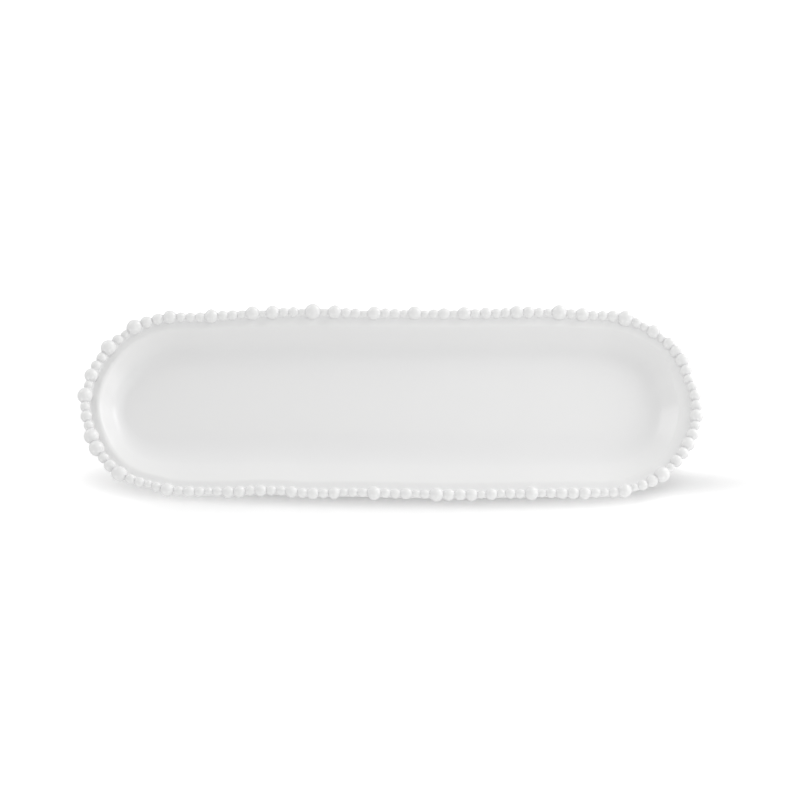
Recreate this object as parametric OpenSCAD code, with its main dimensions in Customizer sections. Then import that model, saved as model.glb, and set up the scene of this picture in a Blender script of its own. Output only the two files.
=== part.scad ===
// Long serving plate with round ends, a coved well and a string of ball beads on the edge of its rim.
// +X runs along the plate, +Y to its back, +Z up. The origin is on the table under the middle.

/* [Tray] */
// Length of the tray at the edge of its rim
tray_l = 391; // [320:1:460]
// Width of the tray at the edge of its rim
tray_w = 127; // [110:1:180]
// Depth of the well below the ledge
well_depth = 11; // [8:0.5:16]
// Thickness of the floor and of the wall
body_t = 6; // [4:0.5:7]
// Thickness of the rim at its edge
rim_t = 6; // [5:0.5:9]
// Width of the flat ledge around the well
ledge_w = 8.3; // [7:0.1:14]
// Run of the wall from the ledge to the flat floor
wall_run = 18; // [15:0.5:24]
// Radius of the cove between the wall and the floor
cove_r = 13; // [6:0.5:14]
// Rounding where the ledge turns down into the wall
lip_r = 2; // [0.5:0.25:4]
// Rounding under the edge of the rim
edge_r = 2; // [0.5:0.25:3]

/* [Foot ring] */
// Height of the foot ring
foot_h = 3; // [2:0.5:6]
// Width of the foot ring
foot_w = 6; // [4:0.5:10]
// Distance from the edge of the flat floor to the foot ring
foot_inset = 1; // [0.5:0.5:8]
// Rounding of the foot ring's lower corners
foot_r = 1; // [0.25:0.25:1.5]

/* [Beads] */
// Diameter of a tiny bead
tiny_d = 5.3; // [4.5:0.1:5.8]
// Diameter of a small bead
small_d = 6.4; // [5.8:0.1:7]
// Diameter of a medium bead
medium_d = 7.5; // [7:0.1:8]
// Diameter of a large bead
large_d = 8.6; // [8:0.1:9.2]
// Diameter of an extra large bead
extra_large_d = 9.8; // [9.2:0.1:11]
// Share of its diameter that a bead keeps along the string, where its neighbours flatten it
squeeze_share = 0.95; // [0.9:0.01:0.96]
// Thickness of the slip joint between two beads
slip_gap = 0.05; // [0.02:0.01:0.15]
// Height of the bead centres above the ledge
bead_rise = 1.2; // [0.5:0.1:2]
// Distance of the bead centres outside the edge of the rim
bead_out = 0.5; // [0.3:0.1:1.2]

/* [Order of the beads] */
// Back side from left to right: T tiny, S small, M medium, L large, X extra large
back_sizes = "SSLMSSLTLSSTXTLSSTLSSTLTSMTLSMSSLMSSXSLS"; // 80
// Right end from the back to the front
right_end_sizes = "SMXSSLTMMLMSSMMLSMLMMSXMMTLSS"; // 80
// Front side from right to left
front_sizes = "SLMMSTXSSTLTMMMXSTMSSXSSTMSMSLSSMSMLSTSM"; // 80
// Left end from the front to the back
left_end_sizes = "SLSTMMXMMXXSMSXSLMMXMTXMMLS"; // 80

/* [Hidden] */

// Facets of a bead and of a round end, and steps of a rounding
bead_fn = 48;
end_fn = 144;
arc_steps = 8;

// Levels above the table
floor_z = foot_h + body_t;
rim_z = floor_z + well_depth;
bead_z = rim_z + bead_rise;

// Plan: two straight sides joined by half circles
side_l = tray_l - tray_w;
rim_r = tray_w / 2;
string_r = rim_r + bead_out;
end_l = PI * string_r;

// The wall is the line from the ledge that touches the cove's circle
cove_at = [ledge_w + wall_run, floor_z + cove_r];
wall_slope = asin(cove_r / norm([wall_run, cove_r - well_depth])) - atan2(cove_r - well_depth, wall_run);
under_turn = ledge_w + rim_t / tan(wall_slope) - body_t / sin(wall_slope);
lip_at = [ledge_w - lip_r * tan(wall_slope / 2), rim_z - lip_r];
edge_at = [edge_r, rim_z - rim_t + edge_r];

// Foot ring: its outer and inner radius at the round ends
foot_out_r = rim_r - cove_at[0] - foot_inset;
foot_in_r = foot_out_r - foot_w;

GLAZE = "whitesmoke";
BEAD_GLAZE = "white";
BISQUE = "linen";

// Points of an arc about a centre, from one angle to another
function arc(at, r, from, to) =
    [for (i = [0 : arc_steps]) let (a = from + (to - from) * i / arc_steps) at + r * [cos(a), sin(a)]];

// Skin of the tray as [distance in from the rim's edge, height], from the floor over the rim to the underside
tray_skin = concat(
    arc(cove_at, cove_r, 270, 270 - wall_slope),
    arc(lip_at, lip_r, 90 - wall_slope, 90),
    [[0, rim_z]],
    arc(edge_at, edge_r, 180, 270),
    [[under_turn, rim_z - rim_t]],
    arc(cove_at, cove_r + body_t, 270 - wall_slope, 270)
);

// Section of the foot ring as [radius, height]
foot_section = concat(
    arc([foot_in_r + foot_r, foot_r], foot_r, 180, 270),
    arc([foot_out_r - foot_r, foot_r], foot_r, 270, 360),
    [[foot_out_r, foot_h], [foot_in_r, foot_h]]
);

// Diameter of the bead that a letter stands for
function bead_d(letter) =
    letter == "T" ? tiny_d :
    letter == "S" ? small_d :
    letter == "M" ? medium_d :
    letter == "L" ? large_d : extra_large_d;

// Letter of bead i of n: an order is read from both ends, so a longer or shorter string changes in its middle
function letter(sizes, i, n) = sizes[(i < n / 2 ? i : i + n * (len(sizes) - 1)) % len(sizes)];

// Where bead i of n starts on a loose string, so with i = n where the string ends
function loose_start(sizes, i, n) =
    i == 0 ? 0 : loose_start(sizes, i - 1, n) + squeeze_share * bead_d(letter(sizes, i - 1, n));

// Number of beads on a stretch: one more is added as long as half a small one still fits
function bead_count(sizes, stretch, n = 1) =
    loose_start(sizes, n, n) + squeeze_share * small_d / 2 > stretch ? n : bead_count(sizes, stretch, n + 1);

// Where the beads meet along a stretch, with the string spread or pressed together to fill it
function bead_ends(sizes, stretch) =
    let (n = bead_count(sizes, stretch))
    [for (i = [0 : n]) loose_start(sizes, i, n) * stretch / loose_start(sizes, n, n)];

// A shape for each round end, turned so that the right one's half circle faces +X
module at_right_end() {
    translate([side_l / 2, 0, 0]) children();
}

module both_ends() {
    for (turn = [0, 180])
        rotate([0, 0, turn]) at_right_end() rotate([0, 0, -90]) children();
}

// A section in Y and Z carried along the straight sides
module along_sides() {
    rotate([90, 0, 90]) linear_extrude(side_l, center = true) children();
}

// Beads of one size along the back side, each a ball between two flats, seated on the corner of the rim
module side_beads(sizes, size) {
    d = bead_d(size);
    ends = bead_ends(sizes, side_l);
    n = len(ends) - 1;
    difference() {
        for (i = [0 : n - 1])
            if (letter(sizes, i, n) == size)
                translate([(ends[i] + ends[i + 1] - side_l) / 2, string_r, bead_z])
                    intersection() {
                        rotate([0, 0, 90]) sphere(d = d, $fn = bead_fn);
                        cube([ends[i + 1] - ends[i] - slip_gap, 2 * d, 2 * d], center = true);
                    }
        translate([-side_l / 2 - d, rim_r - d, rim_z - d]) cube([side_l + 2 * d, d, d]);
    }
}

// Plan of the space of one bead on a round end, between two lines through the end's centre
module bead_wedge(from, to, d) {
    inner = string_r - d;
    outer = string_r + d;
    corners = [[inner, from], [outer, from], [outer, to], [inner, to]];
    polygon([for (c = corners) c[0] * [cos(c[1]), sin(c[1])]]);
}

// Beads of one size around the right end, from the back to the front
module end_beads(sizes, size) {
    d = bead_d(size);
    turns = [for (end = bead_ends(sizes, end_l)) 90 - 180 * end / end_l];
    n = len(turns) - 1;
    slip_turn = 90 * slip_gap / end_l;
    at_right_end() difference() {
        for (i = [0 : n - 1])
            if (letter(sizes, i, n) == size)
                intersection() {
                    rotate([0, 0, (turns[i] + turns[i + 1]) / 2])
                        translate([string_r, 0, bead_z]) sphere(d = d, $fn = bead_fn);
                    translate([0, 0, bead_z - d])
                        linear_extrude(2 * d) bead_wedge(turns[i] - slip_turn, turns[i + 1] + slip_turn, d);
                }
        translate([0, 0, rim_z - d]) cylinder(r = rim_r, h = d, $fn = end_fn);
    }
}

// The front side and the left end are the other two stretches turned half round
module half_turn() {
    rotate([0, 0, 180]) children();
}

// Floor, coved wall and ledge in one shell of even thickness
module tray_body() {
    half = [for (p = tray_skin) [rim_r - p[0], p[1]]];
    other_half = [for (i = [len(half) - 1 : -1 : 0]) [-half[i][0], half[i][1]]];
    color(GLAZE) union() {
        both_ends() rotate_extrude(angle = 180, $fn = end_fn)
            polygon(concat(half, [[0, foot_h], [0, floor_z]]));
        along_sides() polygon(concat(half, other_half));
    }
}

// Coil under the floor that the plate stands on
module foot_ring() {
    color(BISQUE) union() {
        both_ends() rotate_extrude(angle = 180, $fn = end_fn) polygon(foot_section);
        along_sides() for (side = [0, 1]) mirror([side, 0]) polygon(foot_section);
    }
}

module back_tiny_beads() { color(BEAD_GLAZE) side_beads(back_sizes, "T"); }
module back_small_beads() { color(BEAD_GLAZE) side_beads(back_sizes, "S"); }
module back_medium_beads() { color(BEAD_GLAZE) side_beads(back_sizes, "M"); }
module back_large_beads() { color(BEAD_GLAZE) side_beads(back_sizes, "L"); }
module back_extra_large_beads() { color(BEAD_GLAZE) side_beads(back_sizes, "X"); }

module right_end_tiny_beads() { color(BEAD_GLAZE) end_beads(right_end_sizes, "T"); }
module right_end_small_beads() { color(BEAD_GLAZE) end_beads(right_end_sizes, "S"); }
module right_end_medium_beads() { color(BEAD_GLAZE) end_beads(right_end_sizes, "M"); }
module right_end_large_beads() { color(BEAD_GLAZE) end_beads(right_end_sizes, "L"); }
module right_end_extra_large_beads() { color(BEAD_GLAZE) end_beads(right_end_sizes, "X"); }

module front_tiny_beads() { color(BEAD_GLAZE) half_turn() side_beads(front_sizes, "T"); }
module front_small_beads() { color(BEAD_GLAZE) half_turn() side_beads(front_sizes, "S"); }
module front_medium_beads() { color(BEAD_GLAZE) half_turn() side_beads(front_sizes, "M"); }
module front_large_beads() { color(BEAD_GLAZE) half_turn() side_beads(front_sizes, "L"); }
module front_extra_large_beads() { color(BEAD_GLAZE) half_turn() side_beads(front_sizes, "X"); }

module left_end_tiny_beads() { color(BEAD_GLAZE) half_turn() end_beads(left_end_sizes, "T"); }
module left_end_small_beads() { color(BEAD_GLAZE) half_turn() end_beads(left_end_sizes, "S"); }
module left_end_medium_beads() { color(BEAD_GLAZE) half_turn() end_beads(left_end_sizes, "M"); }
module left_end_large_beads() { color(BEAD_GLAZE) half_turn() end_beads(left_end_sizes, "L"); }
module left_end_extra_large_beads() { color(BEAD_GLAZE) half_turn() end_beads(left_end_sizes, "X"); }

tray_body();
foot_ring();
back_tiny_beads();
back_small_beads();
back_medium_beads();
back_large_beads();
back_extra_large_beads();
right_end_tiny_beads();
right_end_small_beads();
right_end_medium_beads();
right_end_large_beads();
right_end_extra_large_beads();
front_tiny_beads();
front_small_beads();
front_medium_beads();
front_large_beads();
front_extra_large_beads();
left_end_tiny_beads();
left_end_small_beads();
left_end_medium_beads();
left_end_large_beads();
left_end_extra_large_beads();
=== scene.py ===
"""Looks of a long white serving plate with round ends and a string of ball beads around its rim."""

import bpy
import numpy as np
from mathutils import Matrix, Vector


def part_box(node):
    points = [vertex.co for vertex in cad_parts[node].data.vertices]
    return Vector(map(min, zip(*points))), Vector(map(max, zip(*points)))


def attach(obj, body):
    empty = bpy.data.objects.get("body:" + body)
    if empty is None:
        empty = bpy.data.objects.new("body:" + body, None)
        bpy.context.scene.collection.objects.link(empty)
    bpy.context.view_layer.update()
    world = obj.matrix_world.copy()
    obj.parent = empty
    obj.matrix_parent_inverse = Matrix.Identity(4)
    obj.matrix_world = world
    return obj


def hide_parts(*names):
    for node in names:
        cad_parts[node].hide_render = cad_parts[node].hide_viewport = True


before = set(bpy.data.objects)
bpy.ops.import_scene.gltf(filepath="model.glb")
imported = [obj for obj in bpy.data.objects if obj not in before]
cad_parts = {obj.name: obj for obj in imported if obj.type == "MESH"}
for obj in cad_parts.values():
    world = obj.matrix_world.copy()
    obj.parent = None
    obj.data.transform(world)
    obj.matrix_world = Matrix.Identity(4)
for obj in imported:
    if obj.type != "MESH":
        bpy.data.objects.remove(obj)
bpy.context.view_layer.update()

MM = 0.001

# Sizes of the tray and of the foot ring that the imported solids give
RIM_R, RIM_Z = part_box("tray_body")[1].yz
SIDE_L = 2 * (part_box("tray_body")[1].x - RIM_R)
FOOT_OUT_R, FOOT_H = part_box("foot_ring")[1].yz

# Section of the tray
WELL_DEPTH = 11 * MM
BODY_T = 6 * MM
RIM_T = 6 * MM
EDGE_R = 2 * MM  # rounding under the rim's edge
SEAM_R = 6 * MM  # distance from the spine at which floor and bottom are closed
FLOOR_Z = RIM_Z - WELL_DEPTH
BOTTOM_Z = FLOOR_Z - BODY_T

# Ledge and wall: values for the back, the right end, the front and the left end
LEDGE_WIDTHS = np.array((8.3, 11.3, 8.3, 8.3)) * MM
LEDGE_FALLS = (-4, -10, 0, 24)  # degrees, down towards the beads
LIP_RADII = np.array((3, 2.5, 5, 3)) * MM
WALL_SLOPES = (34, 38, 25, 46)  # degrees
COVE_TOES = np.array((8, 12, 14, 5)) * MM  # in over the floor from the corner that the cove rounds
COVE_HEELS = np.array((6, 6, 11, 5)) * MM  # up the wall from the same corner

# Web of slip under the beads
WEB_RUNS = np.array((3.8, 3.8, 3.8, 2.6)) * MM  # in over the ledge, for the same four sides
WEB_H = 0.8 * MM
WEB_W = 1.6 * MM

# Underside of the tray: its flat rim, the run of the slope below the wall, and the cove's radius
UNDER_LEDGE = 8.3 * MM
UNDER_RUN = 18 * MM
UNDER_COVE_R = 19 * MM

# Section of the foot ring
FOOT_W = 6 * MM
FOOT_ROUND = 1.4 * MM  # rounding of the standing edge
FOOT_SINK = 0.6 * MM  # how deep the ring is let into the tray

# Beads: diameters and names of the sizes, and the share of its size that a bead rolled small has
BEAD_D = {"T": 5.3 * MM, "S": 6.4 * MM, "M": 7.5 * MM, "L": 8.6 * MM, "X": 9.8 * MM}
BEAD_NAMES = {"T": "tiny", "S": "small", "M": "medium", "L": "large", "X": "extra_large"}
SMALL_ROLL = 0.88

# Line of the string above and outside the rim's corner
BEAD_RISE = 1.2 * MM
BEAD_OUT = 0.5 * MM
STRING_R = RIM_R + BEAD_OUT
END_L = np.pi * STRING_R

# Stretches of the string, a letter for each bead in its order, lower case where it was rolled small
STRETCHES = (
    ("back", SIDE_L, "SSLmSsLtLSStXTLSStLSSTLTSMTLSMSSLMSsXSLS"),
    ("right_end", END_L, "SMXSsLTMMLMSSMMLSMLMMsXMmTLSs"),
    ("front", SIDE_L, "SlMMSTxSSTlTMMMxSTMSSxSSTMSMSlSSMSMlSTSM"),
    ("left_end", END_L, "SLSTmmXMmXXSMSXsLmmXmTXMMLS"),
)
STRING_L = sum(length for _, length, _ in STRETCHES)
STRING_KNOTS = np.cumsum([0] + [length for _, length, _ in STRETCHES])

# Bulges and dents of the rim: place along the string, reach and amount
RIM_WAVES = np.array((
    (4, 26, -3.6),
    (78, 20, 1.1),
    (222, 28, 1.3),
    (264, 12, -1.2),
    (320, 20, 0.6),
    (348, 11, -1.7),
    (560, 45, 1.3),
    (646, 12, 0.6),
    (676, 16, -1.2),
    (746, 14, -1.9),
    (806, 14, -1.3),
)) * MM

# Place where the ledge is narrower than its sides make it, in the same way
LEDGE_WAVES = np.array(((317, 24, -2.4),)) * MM

# Slow waves in the rim's height: size, times around the plate and phase
WARP_WAVES = ((0.35 * MM, 2, 0.7), (0.21 * MM, 3, -1.1))

# Slow waves in the string's place along the rim: size, peak and times around the plate
STRING_SLIDES = ((3.4 * MM, 335 * MM, 1), (0.9 * MM, 210 * MM, 2))

# Hand-rolled shape of the beads, as shares of a ball's radius
BEAD_WIDES = (1.05, 1.05, 0.97, 1.0)  # across the string, for the same four sides
BEAD_LONG = 1.08  # along the string

# Seat of the beads
SEAT_INS = np.array((-0.5, 0.7, 0.8, -0.1)) * MM  # towards the well, for the same four sides
SEAT_OUT = 0.3  # outwards, as a share of the bead's excess over the mean radius
SEAT_UP = 0.2  # upwards, as such a share
FLAT_GAP = 0.04 * MM  # between the flats of two beads
GLAZE_FILLET = 1.6 * MM

# Spread of the handwork from bead to bead
DRAW_SEED = 11
SIZE_SPREAD = 0.02
SEAT_SPREAD = 0.15 * MM
LUMP_SPREAD = 0.012
LUMPS_AROUND = (2, 3)

# Steps of the surfaces: along a side and an end of the plate, along and around a bead
SIDE_STEPS = 132
END_STEPS = 100
FOOT_STRIDE = 2  # the foot takes every second step
BEAD_RINGS = 17
BEAD_SPOKES = 28

# Steps of the parts of a section
STEPS = {
    "floor": 12, "cove": 16, "wall": 8, "lip": 9, "ledge": 4, "web": 7, "crest": 9, "edge": 7,
    "under_rim": 3, "under_slope": 6, "under_cove": 12, "foot_round": 8, "foot_side": 4,
}

# How thick the glaze lies on the parts of the tray, from 0 to 1, and how many points share it evenly
GLAZE_THICK = {"floor": 0.5, "cove": 0.9, "wall": 0.4, "lip": 0.0, "ledge": 0.6, "web": 1.0, "under": 0.5}
GLAZE_BLEND = 5

# Glaze: its colours where it lies thin and thick, its clouds, its ripple and how it bends light
THIN_GLAZE = (0.9, 0.9, 0.895, 1)
THICK_GLAZE = (0.88, 0.88, 0.88, 1)
CLOUDS = {"Scale": 38.0, "Detail": 3.0, "Roughness": 0.5}
RIPPLE = {"Scale": 260.0, "Detail": 2.0, "Roughness": 0.4}
NOISE_MIDDLE = 0.5
GLAZE_IOR = 1.52

# Finish of each glaze: share of the clouds in its thickness, lowest and highest roughness, depth of ripple
TRAY_FINISH = (0.6, 0.26, 0.34, 0.03 * MM)
BEAD_FINISH = (0.4, 0.2, 0.28, 0.02 * MM)
FOOT_FINISH = (0.5, 0.16, 0.24, 0.02 * MM)

# Glaze line on the foot: how much it wavers, and where glaze ends and clay is bare, waver included
LINE_WAVER = 0.9 * MM
GLAZE_END_Z = 2.1 * MM
BARE_CLAY_Z = 1.8 * MM
WAVER = {"Scale": 90.0, "Detail": 2.0}

# Bare clay of the foot: its colours and grain, and its roughness
DARK_CLAY = (0.80, 0.77, 0.71, 1)
LIGHT_CLAY = (0.90, 0.88, 0.84, 1)
GRAIN = {"Scale": 1400.0, "Detail": 2.0}
CLAY_ROUGHNESS = 0.85

# Sockets of a mix node, which share their names: the two colours and the mixed one, the same for values
COLOUR_A, COLOUR_B, COLOUR_OUT = 6, 7, 2
VALUE_A, VALUE_B, VALUE_OUT = 2, 3, 0

# Floor: its size, and how white it is to the light that it throws back, in a gloss and to the eye
FLOOR_SIZE = 8.0
FLOOR_WHITE = 0.9
FLOOR_IN_GLOSS = 1.1
FLOOR_TO_EYE = 1.6

# Painted soft shadow on the floor, a long ellipse: its middle and half axes, and its painted shade from
# edge to core
SHADE_AT = (0.0386, -0.047, 0)
SHADE_REACH = (0.282, 0.0205, 1)
SHADE_EDGE = 0.02
SHADE_CORE = 0.5
SHADE_DEEP = 0.518

# Even light of the studio: its strength where it lights things, and to the eye
AMBIENT = 0.59
EYE_WHITE = 1.0

# Soft lamps: azimuth and elevation in degrees, distance, size and power
LAMPS = {
    "front_card": (30, 15, 0.8, 0.35, 0.96),
    "right_card": (90, 15, 0.8, 0.35, 0.7),
    "right_back_strip": (135, 20, 1.8, 0.8, 8.0),
    "right_back_panel": (135, 62, 1.8, 1.2, 3.4),
    "left_back_strip": (225, 20, 1.8, 0.8, 4.5),
    "left_front_strip": (315, 8, 1.8, 0.5, 4.0),
}

# Camera: film width and focal length in mm, shift of the picture, angles in degrees, and distance
FILM_W = 36
FOCAL_L = 76.8
SHIFT_X, SHIFT_Y = 0.0108, 0.0018
CAMERA_AZIMUTH = 0.16
CAMERA_ELEVATION = 63.9
CAMERA_DISTANCE = 1.093


def pair(first, second):
    """Points from their two coordinates."""
    return np.stack((first, second), axis=-1)


def arc(at, radius, start, end, steps):
    """Points of an arc: centre plus radius times cosine and sine, in even steps of the angle in degrees."""
    share = np.linspace(0, 1, steps)
    angle = np.radians(np.multiply.outer(start, 1 - share) + np.multiply.outer(end, share))
    turned = pair(np.cos(angle), np.sin(angle))
    return np.asarray(at)[..., None, :] + np.asarray(radius)[..., None, None] * turned


def between(start, end, steps):
    """Points that part the straight line between two points into even steps, without the two ends."""
    share = np.linspace(0, 1, steps + 1)[1:-1, None]
    return (1 - share) * np.asarray(start)[..., None, :] + share * np.asarray(end)[..., None, :]


def bend(start, corner, end, steps):
    """Points of a cove that rounds a corner: the parabola (1-t)^2 start + 2t(1-t) corner + t^2 end."""
    t = np.linspace(0, 1, steps)[:, None]
    start, corner, end = (p[..., None, :] for p in (start, corner, end))
    return (1 - t) ** 2 * start + 2 * t * (1 - t) * corner + t**2 * end


def spine(s):
    """Point of the plate's spine and outward direction at places s along the string.

    The string runs along the back, the right end, the front and the left end, so that both the spine's x
    and the outward angle change evenly along a stretch or stay as they are.
    """
    s = np.mod(s, STRING_L)
    angle = np.radians(np.interp(s, STRING_KNOTS, (90, 90, -90, -90, -270)))
    half = SIDE_L / 2
    x = np.interp(s, STRING_KNOTS, (-half, half, half, -half, -half))
    return pair(x, np.zeros_like(x)), pair(np.cos(angle), np.sin(angle))


def along_string(s, place):
    """Distance of places s from another place along the string, the shorter way around."""
    return np.mod(s - place + STRING_L / 2, STRING_L) - STRING_L / 2


def bells(s, waves):
    """Sum of bell curves amount * exp(-(distance/reach)^2) at places s along the string, and its slope."""
    place, reach, amount = waves.T
    off = along_string(np.asarray(s)[..., None], place)
    each = amount * np.exp(-((off / reach) ** 2))
    return each.sum(-1), (-2 * off / reach**2 * each).sum(-1)


def rim_warp(s):
    """How much higher the rim stands at places s: slow cosine waves around the plate, left by firing."""
    turn = 2 * np.pi * np.asarray(s) / STRING_L
    return sum(size * np.cos(times * turn + phase) for size, times, phase in WARP_WAVES)


def string_slide(s):
    """How far along the rim the string was laid from its even place: slow cosine waves around the plate."""
    turn = 2 * np.pi / STRING_L
    return sum(size * np.cos(times * turn * (s - peak)) for size, peak, times in STRING_SLIDES)


def by_side(outward, sides):
    """Value around the plate: its four sides' values, weighed by the square of the outward direction."""
    x, y = outward[..., 0], outward[..., 1]
    shares = np.maximum(np.stack((y, x, -y, -x)), 0) ** 2
    return np.tensordot(sides, shares, 1)


def carry(section, s):
    """Sections of (radius, height) points, one for each place s or one for all, carried around the plate.

    A point is the spine's point plus the radius times the outward direction. The rim's wave grows with the
    square of the radius and its warp with the fourth power, so that both are full at the rim and fade
    inwards.
    """
    point, outward = spine(s)
    radius, height = section[..., 0], section[..., 1]
    share = (radius / RIM_R) ** 2
    reach = radius + bells(s, RIM_WAVES)[0][:, None] * share
    plan = point[:, None] + reach[..., None] * outward[:, None]
    lift = height + rim_warp(s)[:, None] * share**2
    return np.concatenate((plan, lift[..., None]), axis=-1)


def grid_faces(rows, columns, close_rows, close_columns):
    """Four-cornered faces of a grid of points, joined up to itself where a direction is closed."""
    row = np.arange(rows if close_rows else rows - 1)[:, None]
    column = np.arange(columns if close_columns else columns - 1)[None]
    next_row, next_column = (row + 1) % rows, (column + 1) % columns
    corners = np.broadcast_arrays(
        row * columns + column, next_row * columns + column,
        next_row * columns + next_column, row * columns + next_column,
    )
    return np.stack(corners, axis=-1).reshape(-1, 4)


def make_piece(name, points, faces, material, nodes, pool):
    """A smooth mesh from points and faces, which stands for its nodes.

    The mesh keeps how thick the glaze lies at each point as its pool attribute.
    """
    mesh = bpy.data.meshes.new(name)
    mesh.from_pydata(points.reshape(-1, 3).tolist(), [], faces)
    mesh.shade_smooth()
    thickness = mesh.attributes.new("pool", "FLOAT", "POINT")
    thickness.data.foreach_set("value", pool.astype(np.float32).ravel())
    mesh.materials.append(material)
    piece = bpy.data.objects.new(name, mesh)
    bpy.context.scene.collection.objects.link(piece)
    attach(piece, "root")
    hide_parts(*nodes)
    return piece


def around():
    """Places along the string in even steps on each stretch, the same on the back and the front."""
    steps = (SIDE_STEPS, END_STEPS, SIDE_STEPS, END_STEPS)
    stretches = zip(STRING_KNOTS[:-1], STRING_KNOTS[1:], steps)
    return np.concatenate([np.linspace(start, end, n, endpoint=False) for start, end, n in stretches])


def tray_top(s):
    """Parts of the tray's section from floor to rim at places s, as (distance in from the rim, height).

    From the floor a cove bends into the straight wall, which turns over the lip onto the ledge. The ledge
    is a straight line from the lip to the web of slip, which bends up and turns over its crest under the
    beads.
    """
    outward = spine(s)[1]
    slope = by_side(outward, np.radians(WALL_SLOPES))
    fall = by_side(outward, np.radians(LEDGE_FALLS))
    ledge = by_side(outward, LEDGE_WIDTHS) + bells(s, LEDGE_WAVES)[0]
    toe = by_side(outward, COVE_TOES)
    heel = by_side(outward, COVE_HEELS)
    lip_r = by_side(outward, LIP_RADII)
    web_run = by_side(outward, WEB_RUNS)

    level = np.full_like(slope, FLOOR_Z)
    corner = ledge + WELL_DEPTH / np.tan(slope)
    floor_start = np.array((RIM_R - SEAM_R, FLOOR_Z))
    floor_end = pair(corner + toe, level)
    wall_start = pair(corner - heel * np.cos(slope), level + heel * np.sin(slope))
    cove = bend(floor_end, pair(corner, level), wall_start, STEPS["cove"])
    lip_at = pair(ledge - lip_r * np.tan(slope / 2), level + WELL_DEPTH - lip_r)
    lip = arc(lip_at, lip_r, 90 - np.degrees(slope), 90 + np.degrees(fall), STEPS["lip"])

    web_z = lip[:, -1, 1] - (lip[:, -1, 0] - web_run) * np.tan(fall)
    web_start = pair(web_run, web_z)
    web_top = np.array((WEB_W, RIM_Z + WEB_H))
    web = bend(web_start, pair(np.full_like(web_z, WEB_W), web_z), web_top, STEPS["web"])
    crest = arc(web_top - (WEB_W / 2, 0), WEB_W / 2, 0, 180, STEPS["crest"])[1:]
    return (
        ("floor", floor_start[None]),
        ("floor", between(floor_start, floor_end, STEPS["floor"])),
        ("cove", cove),
        ("wall", between(wall_start, lip[:, 0], STEPS["wall"])),
        ("lip", lip),
        ("ledge", between(lip[:, -1], web_start, STEPS["ledge"])),
        ("web", web),
        ("web", crest),
    )


def tray_underside():
    """Parts of the tray's section from the rim's edge to the bottom, as (distance in from the rim, height).

    The slope is the straight line from the turn below the ledge that touches the cove's circle.
    """
    under_z = RIM_Z - RIM_T
    edge = arc((EDGE_R, under_z + EDGE_R), EDGE_R, 180, 270, STEPS["edge"])
    turn = np.array((UNDER_LEDGE, under_z))
    rise = UNDER_COVE_R - (under_z - BOTTOM_Z)
    slope = np.arcsin(UNDER_COVE_R / np.hypot(UNDER_RUN, rise)) - np.arctan2(rise, UNDER_RUN)
    cove_at = (UNDER_LEDGE + UNDER_RUN, BOTTOM_Z + UNDER_COVE_R)
    cove = arc(cove_at, UNDER_COVE_R, 270 - np.degrees(slope), 270, STEPS["under_cove"])
    bottom_end = np.array((RIM_R - SEAM_R, BOTTOM_Z))
    runs = (
        edge,
        between(edge[-1], turn, STEPS["under_rim"]),
        turn[None],
        between(turn, cove[0], STEPS["under_slope"]),
        cove,
        between(cove[-1], bottom_end, STEPS["floor"]),
        bottom_end[None],
    )
    return tuple(("under", run) for run in runs)


def tray_section(s):
    """Sections of the tray at places s, as (radius, height), and how thick the glaze lies along them.

    Each part has its own thickness of glaze, evened out by the mean of a few neighbouring points.
    """
    parts = tray_top(s) + tray_underside()
    skin = np.concatenate([np.broadcast_to(run, (len(s), *run.shape[-2:])) for _, run in parts], axis=1)
    pool = np.concatenate([np.full(run.shape[-2], GLAZE_THICK[part]) for part, run in parts])
    pool = np.pad(pool, GLAZE_BLEND // 2, mode="edge")
    pool = np.convolve(pool, np.full(GLAZE_BLEND, 1 / GLAZE_BLEND), mode="valid")
    return pair(RIM_R - skin[..., 0], skin[..., 1]), pool


def seam_faces(ring, upward):
    """Faces that close a flat ring across the spine: each point on the back with its mirror in front."""
    tip = SIDE_STEPS * 2 + END_STEPS + END_STEPS // 2
    ring = np.roll(ring, -tip)
    half = len(ring) // 2
    back, front = ring[: half + 1], np.concatenate(([ring[0]], ring[:half - 1:-1]))
    quads = np.column_stack((back[1:-2], front[1:-2], front[2:-1], back[2:-1]))
    tips = ((back[0], front[1], back[1]), (back[-2], front[-2], back[-1]))
    faces = quads.tolist() + [list(map(int, tip_face)) for tip_face in tips]
    return faces if upward else [face[::-1] for face in faces]


def make_tray(material):
    """The tray: its section carried around the rim, closed across the spine above and below."""
    s = around()
    section, pool = tray_section(s)
    points = carry(section, s)
    rows, columns = section.shape[:2]
    index = np.arange(rows * columns).reshape(rows, columns)
    faces = grid_faces(rows, columns, True, False).tolist()
    faces += seam_faces(index[:, 0], True) + seam_faces(index[:, -1], False)
    thickness = np.broadcast_to(pool, (rows, columns))
    return make_piece("glazed_tray", points, faces, material, ["tray_body"], thickness)


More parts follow.
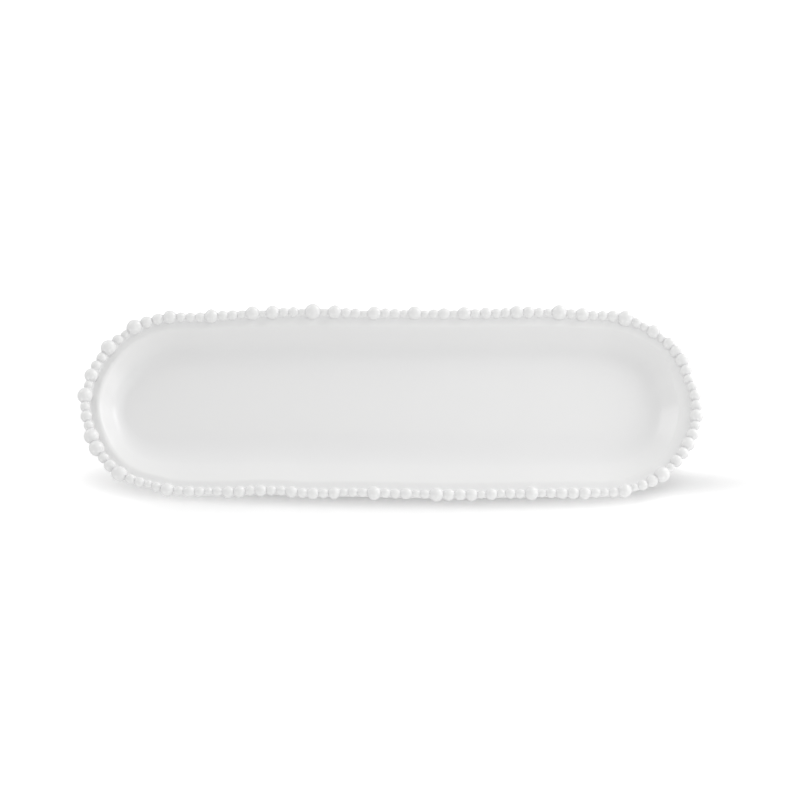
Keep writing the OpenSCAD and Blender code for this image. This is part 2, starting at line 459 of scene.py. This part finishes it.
def make_foot(material):
    """The foot ring: a flattened coil, its section carried around the plate, let into the underside."""
    low = FOOT_ROUND
    top = FOOT_H + FOOT_SINK
    inner, outer = FOOT_OUT_R - FOOT_W, FOOT_OUT_R
    section = np.concatenate((
        arc((outer - low, low), low, 0, -90, STEPS["foot_round"]),
        between((outer - low, 0), (inner + low, 0), STEPS["foot_side"]),
        arc((inner + low, low), low, -90, -180, STEPS["foot_round"]),
        between((inner, low), (inner, top), STEPS["foot_side"]),
        [(inner, top)],
        between((inner, top), (outer, top), STEPS["foot_side"]),
        [(outer, top)],
        between((outer, top), (outer, low), STEPS["foot_side"]),
    ))
    s = around()[::FOOT_STRIDE]
    points = carry(section, s)
    points[..., 2] = section[:, 1]
    faces = grid_faces(len(s), len(section), True, True).tolist()
    pool = np.broadcast_to(np.clip(section[:, 1] / FOOT_H, 0, 1), points.shape[:2])
    return make_piece("foot_coil", points, faces, material, ["foot_ring"], pool)


def string_beads():
    """Stretch, size letter, diameter, middle and width of every bead, widths spread to fill the stretch."""
    names, letters, diameters, widths = [], [], [], []
    for name, length, order in STRETCHES:
        sizes = order.upper()
        rolls = [SMALL_ROLL if letter.islower() else 1 for letter in order]
        d = np.array([BEAD_D[size] for size in sizes]) * rolls
        names += [name] * len(order)
        letters += sizes
        diameters.append(d)
        widths.append(d * length / d.sum())
    width = np.concatenate(widths)
    middle = np.cumsum(width) - width / 2
    return np.array(names), np.array(letters), np.concatenate(diameters), middle, width


def soft_top(a, b):
    """The larger of a and b, rounded where they cross: max + max(fillet - |a - b|, 0)^2 / (4 * fillet)."""
    near = np.maximum(GLAZE_FILLET - np.abs(a - b), 0)
    return np.maximum(a, b) + near**2 / (4 * GLAZE_FILLET)


def bead_surfaces():
    """Points of every bead as (bead, ring, spoke), and how near each ring is to its bead's ends.

    A bead is a ball between the flats where it meets its neighbours. Ring by ring its radius is the ball's,
    sunk into its neighbours' with a fillet of glaze. Size, seat and lumps vary from bead to bead. A large
    bead stands further out, so that the beads' inner sides line up. At the flats two beads share one seat,
    so that their rings meet there.
    """
    names, letters, diameter, middle, width = string_beads()
    draw = np.random.default_rng(DRAW_SEED)
    count = len(names)
    swell = draw.normal(0, SIZE_SPREAD, count)
    out_spread, up_spread = draw.normal(0, SEAT_SPREAD, (2, count))
    lump = draw.normal(0, LUMP_SPREAD, (len(LUMPS_AROUND), count))
    lump_turn = draw.uniform(0, 2 * np.pi, (len(LUMPS_AROUND), count))

    half = diameter / 2
    long = BEAD_LONG * half
    widest = np.arcsin((width - FLAT_GAP) / 2 / long)
    step = np.linspace(-1, 1, BEAD_RINGS)
    tilt = widest[:, None] * step
    s = middle[:, None] + long[:, None] * np.sin(tilt)
    own = half[:, None] * np.cos(tilt)
    free = np.cos(step * np.pi / 2) ** 2

    def ball(shift):
        """Radius of a neighbour's ball there: half its size times sqrt(1 - (distance/length)^2)."""
        off = along_string(s, np.roll(middle, shift)[:, None])
        share = off / np.roll(long, shift)[:, None]
        return np.roll(half, shift)[:, None] * np.sqrt(np.maximum(1 - share**2, 0))

    def shared(value):
        """A bead's own value at its middle, and the mean of its own and its neighbour's at the flats."""
        neighbour = np.where(step < 0, np.roll(value, 1)[:, None], np.roll(value, -1)[:, None])
        return value[:, None] * (1 + free) / 2 + neighbour * (1 - free) / 2

    radius = soft_top(soft_top(own, ball(1)), ball(-1)) * (1 + swell[:, None] * free)
    excess = half - half.mean()
    stand_out = shared(SEAT_OUT * excess + out_spread)
    stand_up = shared(SEAT_UP * excess + up_spread)

    s = s + string_slide(s)
    point, outward = spine(s)
    out, slope = bells(s, RIM_WAVES)
    forward = pair(outward[..., 1], -outward[..., 0]) + slope[..., None] * outward
    forward /= np.linalg.norm(forward, axis=-1, keepdims=True)
    across = pair(-forward[..., 1], forward[..., 0])
    seat_r = STRING_R - by_side(outward, SEAT_INS) + out
    centre = point + seat_r[..., None] * outward + stand_out[..., None] * across
    height = RIM_Z + BEAD_RISE + rim_warp(s) + stand_up

    spoke = np.arange(BEAD_SPOKES) * 2 * np.pi / BEAD_SPOKES
    lumps = sum(
        (size[:, None] * np.cos(times * spoke + turn[:, None]))[:, None] * free[:, None]
        for times, size, turn in zip(LUMPS_AROUND, lump, lump_turn)
    )
    reach = radius[..., None] * (1 + lumps)
    wide = by_side(outward, BEAD_WIDES)[..., None] * reach * np.cos(spoke)
    plan = centre[:, :, None] + wide[..., None] * across[:, :, None]
    rise = height[..., None] + reach * np.sin(spoke)
    points = np.concatenate((plan, rise[..., None]), axis=-1)
    return names, letters, points, np.broadcast_to((1 - free)[:, None], (BEAD_RINGS, BEAD_SPOKES))


def make_beads(material):
    """The beads, a piece for each size on each stretch: rings joined into balls, a disc at each flat."""
    names, letters, points, pool = bead_surfaces()
    per_bead = BEAD_RINGS * BEAD_SPOKES
    ball_faces = grid_faces(BEAD_RINGS, BEAD_SPOKES, False, True)[:, ::-1]
    first_disc = np.arange(BEAD_SPOKES)[::-1]
    last_disc = np.arange(BEAD_SPOKES) + per_bead - BEAD_SPOKES
    for stretch, _, order in STRETCHES:
        for letter in sorted(set(order.upper())):
            chosen = points[(names == stretch) & (letters == letter)]
            start = per_bead * np.arange(len(chosen))[:, None, None]
            faces = (ball_faces + start).reshape(-1, 4).tolist()
            faces += (np.stack((first_disc, last_disc)) + start).reshape(-1, BEAD_SPOKES).tolist()
            node = f"{stretch}_{BEAD_NAMES[letter]}_beads"
            thickness = np.broadcast_to(pool, chosen.shape[:3])
            piece = make_piece(f"glazed_{node}", chosen, faces, material, [node], thickness)
            discs = np.zeros(len(faces), bool)
            discs[-2 * len(chosen):] = True
            piece.data.polygons.foreach_set("use_smooth", ~discs)


def wire(tree, source, target):
    """Joins two sockets of a node tree, each given as (node, socket name or number)."""
    tree.links.new(source[0].outputs[source[1]], target[0].inputs[target[1]])


def add_node(tree, kind, settings=None, **inputs):
    """A node with its settings and the values of its inputs, underscores for spaces in their names."""
    node = tree.nodes.new(kind)
    for key, value in (settings or {}).items():
        setattr(node, key, value)
    for key, value in inputs.items():
        node.inputs[key.replace("_", " ")].default_value = value
    return node


def glaze_group():
    """Shader group of a fired glaze: slow clouds in its tone, thick and thin places, and a faint ripple.

    The glaze's thickness is the pool plus the cloud share times the noise less its middle. The thickness
    mixes the two colours, and the noise sets the roughness between its lowest and its highest.
    """
    group = bpy.data.node_groups.new("fired_glaze", "ShaderNodeTree")
    for name, kind in (
        ("Place", "NodeSocketVector"), ("Pool", "NodeSocketFloat"), ("Thin Colour", "NodeSocketColor"),
        ("Thick Colour", "NodeSocketColor"), ("Cloud Share", "NodeSocketFloat"),
        ("Gloss Low", "NodeSocketFloat"), ("Gloss High", "NodeSocketFloat"),
    ):
        group.interface.new_socket(name=name, in_out="INPUT", socket_type=kind)
    for name, kind in (
        ("Colour", "NodeSocketColor"), ("Roughness", "NodeSocketFloat"), ("Height", "NodeSocketFloat"),
    ):
        group.interface.new_socket(name=name, in_out="OUTPUT", socket_type=kind)
    given = group.nodes.new("NodeGroupInput")
    made = group.nodes.new("NodeGroupOutput")
    cloud = add_node(group, "ShaderNodeTexNoise", **CLOUDS)
    ripple = add_node(group, "ShaderNodeTexNoise", **RIPPLE)
    centred = add_node(group, "ShaderNodeMath", {"operation": "SUBTRACT"})
    centred.inputs[1].default_value = NOISE_MIDDLE
    thickness = add_node(group, "ShaderNodeMath", {"operation": "MULTIPLY_ADD", "use_clamp": True})
    tone = add_node(group, "ShaderNodeMix", {"data_type": "RGBA"})
    gloss = add_node(group, "ShaderNodeMapRange")
    wire(group, (given, "Place"), (cloud, "Vector"))
    wire(group, (given, "Place"), (ripple, "Vector"))
    wire(group, (cloud, "Fac"), (centred, 0))
    wire(group, (centred, 0), (thickness, 0))
    wire(group, (given, "Cloud Share"), (thickness, 1))
    wire(group, (given, "Pool"), (thickness, 2))
    wire(group, (thickness, 0), (tone, "Factor"))
    wire(group, (given, "Thin Colour"), (tone, COLOUR_A))
    wire(group, (given, "Thick Colour"), (tone, COLOUR_B))
    wire(group, (tone, COLOUR_OUT), (made, "Colour"))
    wire(group, (cloud, "Fac"), (gloss, "Value"))
    wire(group, (given, "Gloss Low"), (gloss, "To Min"))
    wire(group, (given, "Gloss High"), (gloss, "To Max"))
    wire(group, (gloss, "Result"), (made, "Roughness"))
    wire(group, (ripple, "Fac"), (made, "Height"))
    return group


def glaze_material(name, group, finish):
    """A white glaze: the group's tone, gloss and ripple over the piece's own place and glaze thickness."""
    cloud_share, gloss_low, gloss_high, ripple_depth = finish
    material = bpy.data.materials.new(name)
    material.use_nodes = True
    tree = material.node_tree
    shader = tree.nodes["Principled BSDF"]
    shader.inputs["IOR"].default_value = GLAZE_IOR
    place = tree.nodes.new("ShaderNodeTexCoord")
    pool = add_node(tree, "ShaderNodeAttribute", {"attribute_name": "pool"})
    glaze = add_node(
        tree, "ShaderNodeGroup", {"node_tree": group}, Thin_Colour=THIN_GLAZE, Thick_Colour=THICK_GLAZE,
        Cloud_Share=cloud_share, Gloss_Low=gloss_low, Gloss_High=gloss_high,
    )
    bump = add_node(tree, "ShaderNodeBump", Strength=1.0, Distance=ripple_depth)
    wire(tree, (place, "Object"), (glaze, "Place"))
    wire(tree, (pool, "Fac"), (glaze, "Pool"))
    wire(tree, (glaze, "Colour"), (shader, "Base Color"))
    wire(tree, (glaze, "Roughness"), (shader, "Roughness"))
    wire(tree, (glaze, "Height"), (bump, "Height"))
    wire(tree, (bump, "Normal"), (shader, "Normal"))
    return material


def foot_material(group):
    """Foot ring: glaze above a wavering glaze line, and bare, grainy clay where the foot was wiped clean.

    The line is the height plus a noise times the waver. From where the glaze ends down to the bare clay it
    mixes the glaze's colour and roughness into the clay's.
    """
    material = glaze_material("wiped_foot", group, FOOT_FINISH)
    tree = material.node_tree
    shader = tree.nodes["Principled BSDF"]
    place = next(n for n in tree.nodes if n.type == "TEX_COORD")
    glaze = next(n for n in tree.nodes if n.type == "GROUP")
    parts = tree.nodes.new("ShaderNodeSeparateXYZ")
    waver = add_node(tree, "ShaderNodeTexNoise", **WAVER)
    line = add_node(tree, "ShaderNodeMath", {"operation": "MULTIPLY_ADD"})
    line.inputs[1].default_value = LINE_WAVER
    bare = add_node(tree, "ShaderNodeMapRange", From_Min=GLAZE_END_Z, From_Max=BARE_CLAY_Z)
    wire(tree, (place, "Object"), (parts, "Vector"))
    wire(tree, (place, "Object"), (waver, "Vector"))
    wire(tree, (waver, "Fac"), (line, 0))
    wire(tree, (parts, "Z"), (line, 2))
    wire(tree, (line, 0), (bare, "Value"))

    grain = add_node(tree, "ShaderNodeTexNoise", **GRAIN)
    clay = add_node(tree, "ShaderNodeMix", {"data_type": "RGBA"})
    clay.inputs[COLOUR_A].default_value = DARK_CLAY
    clay.inputs[COLOUR_B].default_value = LIGHT_CLAY
    wire(tree, (place, "Object"), (grain, "Vector"))
    wire(tree, (grain, "Fac"), (clay, "Factor"))

    colour = add_node(tree, "ShaderNodeMix", {"data_type": "RGBA"})
    wire(tree, (bare, "Result"), (colour, "Factor"))
    wire(tree, (glaze, "Colour"), (colour, COLOUR_A))
    wire(tree, (clay, COLOUR_OUT), (colour, COLOUR_B))
    wire(tree, (colour, COLOUR_OUT), (shader, "Base Color"))
    rough = add_node(tree, "ShaderNodeMix", {"data_type": "FLOAT"})
    rough.inputs[VALUE_B].default_value = CLAY_ROUGHNESS
    wire(tree, (bare, "Result"), (rough, "Factor"))
    wire(tree, (glaze, "Roughness"), (rough, VALUE_A))
    wire(tree, (rough, VALUE_OUT), (shader, "Roughness"))
    return material


def seen_share(tree):
    """1 for what is seen, straight, in a gloss or through glass, and 0 for light that falls on things."""
    ray = tree.nodes.new("ShaderNodeLightPath")
    first = add_node(tree, "ShaderNodeMath", {"operation": "MAXIMUM"})
    both = add_node(tree, "ShaderNodeMath", {"operation": "MAXIMUM"})
    wire(tree, (ray, "Is Camera Ray"), (first, 0))
    wire(tree, (ray, "Is Glossy Ray"), (first, 1))
    wire(tree, (first, 0), (both, 0))
    wire(tree, (ray, "Is Transmission Ray"), (both, 1))
    return both


def floor_material():
    """White floor, brighter to the eye than it is lit: its white times a painted shadow, a long soft
    ellipse.

    It keeps the plate's own shadow from the lamps, and the ellipse's painted shade deepens that in front of
    the plate.
    """
    material = bpy.data.materials.new("white_floor")
    material.use_nodes = True
    tree = material.node_tree
    tree.nodes.remove(tree.nodes["Principled BSDF"])
    plain = add_node(tree, "ShaderNodeBsdfDiffuse", Color=(FLOOR_WHITE, FLOOR_WHITE, FLOOR_WHITE, 1))
    seen = tree.nodes.new("ShaderNodeBsdfDiffuse")
    ray = tree.nodes.new("ShaderNodeLightPath")
    white = add_node(tree, "ShaderNodeMapRange", To_Min=FLOOR_IN_GLOSS, To_Max=FLOOR_TO_EYE)
    place = tree.nodes.new("ShaderNodeTexCoord")
    reach = add_node(
        tree, "ShaderNodeMapping", {"vector_type": "TEXTURE"}, Location=SHADE_AT, Scale=SHADE_REACH,
    )
    # Painted shadow: a soft ellipse that darkens the floor's seen colour in front of the plate
    ellipse = add_node(tree, "ShaderNodeTexGradient", {"gradient_type": "SPHERICAL"})
    shade = add_node(
        tree, "ShaderNodeMapRange", From_Min=SHADE_EDGE, From_Max=SHADE_CORE, To_Min=1, To_Max=SHADE_DEEP,
    )
    shaded = add_node(tree, "ShaderNodeMath", {"operation": "MULTIPLY"})
    mix = tree.nodes.new("ShaderNodeMixShader")
    wire(tree, (ray, "Is Camera Ray"), (white, "Value"))
    wire(tree, (place, "Object"), (reach, "Vector"))
    wire(tree, (reach, "Vector"), (ellipse, "Vector"))
    wire(tree, (ellipse, "Fac"), (shade, "Value"))
    wire(tree, (white, "Result"), (shaded, 0))
    wire(tree, (shade, "Result"), (shaded, 1))
    wire(tree, (shaded, 0), (seen, "Color"))
    wire(tree, (seen_share(tree), 0), (mix, 0))
    wire(tree, (plain, 0), (mix, 1))
    wire(tree, (seen, 0), (mix, 2))
    wire(tree, (mix, 0), (tree.nodes["Material Output"], "Surface"))
    return material


def make_floor():
    """One large square on the table's level."""
    corner = FLOOR_SIZE / 2
    mesh = bpy.data.meshes.new("floor")
    corners = [(-corner, -corner, 0), (corner, -corner, 0), (corner, corner, 0), (-corner, corner, 0)]
    mesh.from_pydata(corners, [], [(0, 1, 2, 3)])
    mesh.materials.append(floor_material())
    floor = bpy.data.objects.new("floor", mesh)
    bpy.context.scene.collection.objects.link(floor)


def make_world():
    """Even studio light: white to the eye, and weaker where it lights things."""
    world = bpy.data.worlds.new("studio")
    bpy.context.scene.world = world
    world.use_nodes = True
    tree = world.node_tree
    strength = add_node(tree, "ShaderNodeMapRange", To_Min=AMBIENT, To_Max=EYE_WHITE)
    background = tree.nodes["Background"]
    background.inputs["Color"].default_value = (1, 1, 1, 1)
    wire(tree, (seen_share(tree), 0), (strength, "Value"))
    wire(tree, (strength, "Result"), (background, "Strength"))


def direction(azimuth, elevation):
    """Direction from the plate: azimuth 0 is in front, 90 at the right; elevation is above the table."""
    a, e = np.radians((azimuth, elevation))
    return np.array((np.sin(a) * np.cos(e), -np.cos(a) * np.cos(e), np.sin(e)))


def aim(thing, place, target):
    """Puts a lamp or camera at a place, looking at a target."""
    thing.location = place
    thing.rotation_mode = "QUATERNION"
    thing.rotation_quaternion = (Vector(target) - Vector(place)).to_track_quat("-Z", "Y")


def make_lamp(name, azimuth, elevation, distance, size, power):
    """Soft square lamp that looks at the plate's rim."""
    data = bpy.data.lights.new(name, "AREA")
    data.shape = "SQUARE"
    data.size = size
    data.energy = power
    lamp = bpy.data.objects.new(name, data)
    bpy.context.scene.collection.objects.link(lamp)
    aim(lamp, distance * direction(azimuth, elevation), (0, 0, RIM_Z))


def make_camera():
    """Long lens at the photograph's angle: 64 degrees above the table, straight in front of the plate."""
    data = bpy.data.cameras.new("camera")
    data.sensor_width = FILM_W
    data.lens = FOCAL_L
    data.shift_x = SHIFT_X
    data.shift_y = SHIFT_Y
    camera = bpy.data.objects.new("camera", data)
    bpy.context.scene.collection.objects.link(camera)
    target = np.array((0, 0, RIM_Z + BEAD_RISE))
    aim(camera, target + CAMERA_DISTANCE * direction(CAMERA_AZIMUTH, CAMERA_ELEVATION), target)
    bpy.context.scene.camera = camera


fired_glaze = glaze_group()
tray_glaze = glaze_material("tray_glaze", fired_glaze, TRAY_FINISH)
bead_glaze = glaze_material("bead_glaze", fired_glaze, BEAD_FINISH)
make_tray(tray_glaze)
make_foot(foot_material(fired_glaze))
make_beads(bead_glaze)

bpy.context.scene.view_settings.view_transform = "Standard"
make_floor()
make_world()
for lamp_name, lamp_values in LAMPS.items():
    make_lamp(lamp_name, *lamp_values)
make_camera()
